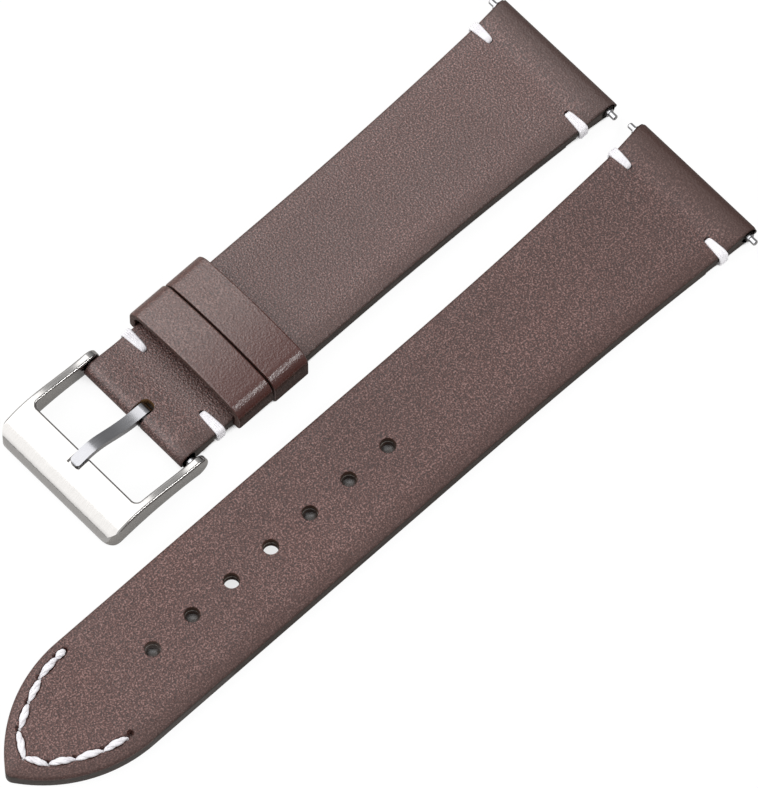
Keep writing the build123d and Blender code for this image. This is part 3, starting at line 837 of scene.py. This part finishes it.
def woven_sheet(name):
    made, tree, shader, place = new_material(name)
    weave = tree.nodes.new("ShaderNodeTexWave")
    weave.inputs["Scale"].default_value = 900.0
    tree.links.new(place, weave.inputs["Vector"])
    base = ramp(tree, weave.outputs["Fac"], [(0.2, colour(196, 194, 186)), (0.8, colour(226, 224, 216))])
    tree.links.new(base, shader.inputs["Base Color"])
    shader.inputs["Roughness"].default_value = 0.8
    bump(tree, shader, weave.outputs["Fac"], 0.4, 0.05)
    return made


# Leather tones: dark and middle grain, and a pale tone painted as glints of sheen.
GRAIN_AND_GLINT_TONES = colour(40, 24, 21), colour(77, 47, 42), colour(138, 104, 98)
short_leather = grained_leather(
    "short half leather", *GRAIN_AND_GLINT_TONES, 0.42, 4600.0, 0.8, (SHORT_NOSE_X, SHORT_Y, False)
)
long_leather = grained_leather(
    "long half leather", *GRAIN_AND_GLINT_TONES, 0.45, 4600.0, 0.55, (LONG_NOSE_X, LONG_Y, True)
)
# The keeper's bend colour is painted shade for its right side.
keeper_leather = grained_leather(
    "keeper leather", colour(54, 31, 26), colour(84, 50, 43), colour(124, 90, 82), 0.29, 4200.0, 0.8,
    bend_shade=colour(66, 22, 13),
)
# The keeper's side walls get a darker, duller copy of the keeper leather: painted shade.
keeper_wall_shade = grained_leather(
    "keeper side wall shade", colour(34, 18, 13), colour(48, 27, 20), colour(70, 45, 37), 0.52, 4200.0, 0.2
)
lining_leather = grained_leather(
    "lining leather", colour(92, 72, 58), colour(116, 94, 78), colour(140, 118, 100), 0.6, 3000.0, 0.3
)
side_paint = edge_paint("painted edge", colour(44, 37, 34), colour(66, 58, 53))
keeper_side = edge_paint("keeper cut edge", colour(58, 42, 37), colour(82, 63, 57))
# The adjusting holes' cut walls are coloured dark: painted shade inside the holes.
shaded_hole_wall = edge_paint("cut hole wall shade", colour(44, 28, 22), colour(78, 52, 38))
slot_wall = edge_paint("cut slot wall", colour(88, 62, 38), colour(122, 92, 60))
thread_white = waxed_thread("waxed thread")
frame_steel = steel("polished buckle steel", (172, 170, 168), 0.14, (1.0, 6.0, 1.0), 0.0)
tongue_steel = steel("brushed tongue steel", (152, 152, 155), 0.2, (0.6, 7.0, 1.0), 0.3)
bar_steel = steel("turned bar steel", (176, 176, 178), 0.2, (1.0, 8.0, 1.0), 0.2)
spring_steel = steel("spring wire", (190, 190, 194), 0.3, (1.0, 2.0, 1.0), 0.1)
sheet_cloth = woven_sheet("woven stiffener")


def dress(piece, made, *sides):
    """Gives a piece its material, and the faces that meet each test another."""
    piece.data.materials.clear()
    piece.data.materials.append(made)
    for face in piece.data.polygons:
        face.material_index = 0
    for number, (side, is_side) in enumerate(sides, 1):
        piece.data.materials.append(side)
        for face in piece.data.polygons:
            if is_side(face.center / MM, face.normal):
                face.material_index = number


def on_hole_wall(centre, normal):
    return abs(normal.z) < 0.5 and hole_edge(centre)


def on_slot_wall(centre, normal):
    return abs(normal.z) < 0.5 and slot_edge(centre)


def on_side(nose_x, y, tip):
    def test(centre, normal):
        return abs(normal.z) < 0.6 and in_rim(centre, nose_x, y, tip) and (
            abs(normal.y) > 0.6 or centre.x < TIP_START_X
        )
    return test


for piece, y, nose_x, tip, body, node, leather in (
    (long_top, LONG_Y, LONG_NOSE_X, True, "long_half", "long_top_leather", long_leather),
    (long_under, LONG_Y, LONG_NOSE_X, True, "long_half", "long_lining", lining_leather),
    (short_top, SHORT_Y, SHORT_NOSE_X, False, "short_half", "short_top_leather", short_leather),
    (short_under, SHORT_Y, SHORT_NOSE_X, False, "short_half", "short_lining", lining_leather),
):
    finish_mesh(piece, 32)
    dress(piece, leather, (side_paint, on_side(nose_x, y, tip)), (shaded_hole_wall, on_hole_wall), (slot_wall, on_slot_wall))
    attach(piece, body)
    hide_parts(node)

for piece, body in ((free_keeper, "free_keeper"), (fixed_keeper, "short_half")):
    finish_mesh(piece, 40)
    dress(
        piece, keeper_leather, (keeper_wall_shade, lambda centre, normal: abs(normal.y) > 0.93),
        (keeper_side, lambda centre, normal: abs(normal.x) > 0.8),
    )
    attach(piece, body)

finish_mesh(tip_thread, 60)
dress(tip_thread, thread_white)
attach(tip_thread, "long_half")
for piece in wraps:
    finish_mesh(piece, 60)
    dress(piece, thread_white)

for name, node in parts.items():
    if name == "buckle_frame":
        dress(node, frame_steel)
    elif name == "buckle_tongue":
        dress(node, tongue_steel)
    elif name.endswith("_spring"):
        dress(node, spring_steel)
    elif "_bar_" in name:
        dress(node, bar_steel)
    elif "reinforcement" in name:
        dress(node, sheet_cloth)

# ---- floor, light and camera

deselect()
bpy.ops.mesh.primitive_plane_add(size=3, location=(0, 0, -0.00002))
floor = bpy.context.object
floor.name = "floor"
# The floor's colour and glow follow how open it is overhead: it goes dark brown as painted shade under the strap and
# its holes, and a painted light patch keeps it white through the two middle holes.
LIT_HOLES_X = LONG_NOSE_X - FIRST_HOLE - 3.5 * HOLE_PITCH
FRAME_REACH = 14.95
FRONT_FLOOR_X = BUCKLE_BAR_X - FRAME_REACH
paper, tree, shader, place = new_material("pale floor")
shader.inputs["Roughness"].default_value = 0.9
glow = tree.nodes.new("ShaderNodeEmission")
glow.inputs["Strength"].default_value = 1.03
rays = tree.nodes.new("ShaderNodeLightPath")
mirrored = combine(tree, "MAXIMUM", rays.outputs["Is Glossy Ray"], rays.outputs["Is Transmission Ray"])
within = tree.nodes.new("ShaderNodeAmbientOcclusion")
within.samples = 16
within.inputs["Distance"].default_value = 3 * MM
open_sky = spread(tree, within.outputs["AO"], 0.24, 0.36, 0.0, 1.0)
spot = tree.nodes.new("ShaderNodeSeparateXYZ")
tree.links.new(place, spot.inputs["Vector"])
lit_hole = combine(tree, "SUBTRACT", spot.outputs["X"], LIT_HOLES_X * MM)
lit_hole = combine(tree, "LESS_THAN", combine(tree, "ABSOLUTE", lit_hole, 0.0), HOLE_PITCH * MM)
open_sky = combine(tree, "MAXIMUM", open_sky, combine(tree, "MULTIPLY", lit_hole, 0.8))
floor_tone_with_painted_shade = blend_colours(tree, open_sky, (0.1, 0.07, 0.055, 1.0), (0.9, 0.9, 0.9, 1.0))
# In reflections the floor takes a darker beige-grey tone: painted shade of the floor under the object.
mirror_shade_share = combine(tree, "MULTIPLY", mirrored, 0.75)
tree.links.new(blend_colours(tree, mirror_shade_share, floor_tone_with_painted_shade, (0.3, 0.27, 0.24, 1.0)),
               shader.inputs["Base Color"])
share = combine(tree, "MULTIPLY", combine(tree, "MULTIPLY", rays.outputs["Is Camera Ray"], 0.9), open_sky)
# In front of the buckle the floor glows more, in reflections only: a painted reflection that lightens the buckle's
# front walls.
before_buckle = combine(tree, "LESS_THAN", spot.outputs["X"], FRONT_FLOOR_X * MM)
buckle_reflection_glow = combine(tree, "ADD", combine(tree, "MULTIPLY", before_buckle, 0.45), 0.2)
share = combine(tree, "MAXIMUM", share, combine(tree, "MULTIPLY", mirrored, buckle_reflection_glow))
mixer = tree.nodes.new("ShaderNodeMixShader")
tree.links.new(share, mixer.inputs["Fac"])
tree.links.new(shader.outputs["BSDF"], mixer.inputs[1])
tree.links.new(glow.outputs["Emission"], mixer.inputs[2])
tree.links.new(mixer.outputs["Shader"], tree.nodes["Material Output"].inputs["Surface"])
floor.data.materials.append(paper)

SKY_LIGHT = 0.28
world = bpy.context.scene.world or bpy.data.worlds.new("studio")
bpy.context.scene.world = world
world.use_nodes = True
sky = world.node_tree
backdrop = sky.nodes["Background"]
sky_rays = sky.nodes.new("ShaderNodeLightPath")
straight = combine(sky, "MAXIMUM", sky_rays.outputs["Is Camera Ray"], sky_rays.outputs["Is Transmission Ray"])
heading = sky.nodes.new("ShaderNodeTexCoord")
tilt = sky.nodes.new("ShaderNodeSeparateXYZ")
sky.links.new(heading.outputs["Generated"], tilt.inputs["Vector"])
# The studio's bright side is the left one, seen in the steel and the leather's sheen
sideways = combine(sky, "SUBTRACT", combine(sky, "MULTIPLY", tilt.outputs["Y"], 0.6),
                   combine(sky, "MULTIPLY", tilt.outputs["X"], 0.8))
rise = combine(sky, "MULTIPLY", spread(sky, sideways, -0.75, 0.0, 0.06, 1.0),
               spread(sky, tilt.outputs["Z"], 0.0, 0.35, 0.2, 1.0))
mirrored = combine(sky, "MULTIPLY", sky_rays.outputs["Is Glossy Ray"], rise)
straight = combine(sky, "MAXIMUM", straight, mirrored)
backdrop.inputs["Color"].default_value = (1, 1, 1, 1)
sky.links.new(combine(sky, "MAXIMUM", straight, SKY_LIGHT), backdrop.inputs["Strength"])


def soft_light(name, place, aim, width, power):
    deselect()
    bpy.ops.object.light_add(type="AREA", location=place)
    lamp = bpy.context.object
    lamp.name = name
    lamp.data.size = width
    lamp.data.energy = power
    lamp.rotation_mode = "QUATERNION"
    lamp.rotation_quaternion = (Vector(aim) - Vector(place)).to_track_quat("-Z", "Y")
    return lamp


soft_light("key light", (-0.1, 0.5, 0.73), (0, 0, 0), 1.0, 6.2)
soft_light("left light", (-0.75, 0.3, 0.42), (0, 0, 0), 0.8, 2.7)
strip = soft_light("strip light", (0.2, -0.45, 0.5), (0, 0, 0), 0.6, 2.1)
strip.data.shape = "RECTANGLE"
strip.data.size_y = 0.05

AIM = Vector((9.62, -5.66, 0)) * MM
AZIMUTH, ELEVATION, DISTANCE = math.radians(-43.5), math.radians(65.37), 1.403
back = Vector((
    math.sin(AZIMUTH) * math.cos(ELEVATION),
    -math.cos(AZIMUTH) * math.cos(ELEVATION),
    math.sin(ELEVATION),
))
deselect()
bpy.ops.object.camera_add(location=AIM + back * DISTANCE)
camera = bpy.context.object
camera.rotation_mode = "QUATERNION"
camera.rotation_quaternion = (-back).to_track_quat("-Z", "Y")
camera.data.lens = 523
camera.data.sensor_width = 36
camera.data.clip_start = 0.1
camera.data.clip_end = 20
bpy.context.scene.camera = camera

bpy.context.scene.view_settings.view_transform = "Standard"
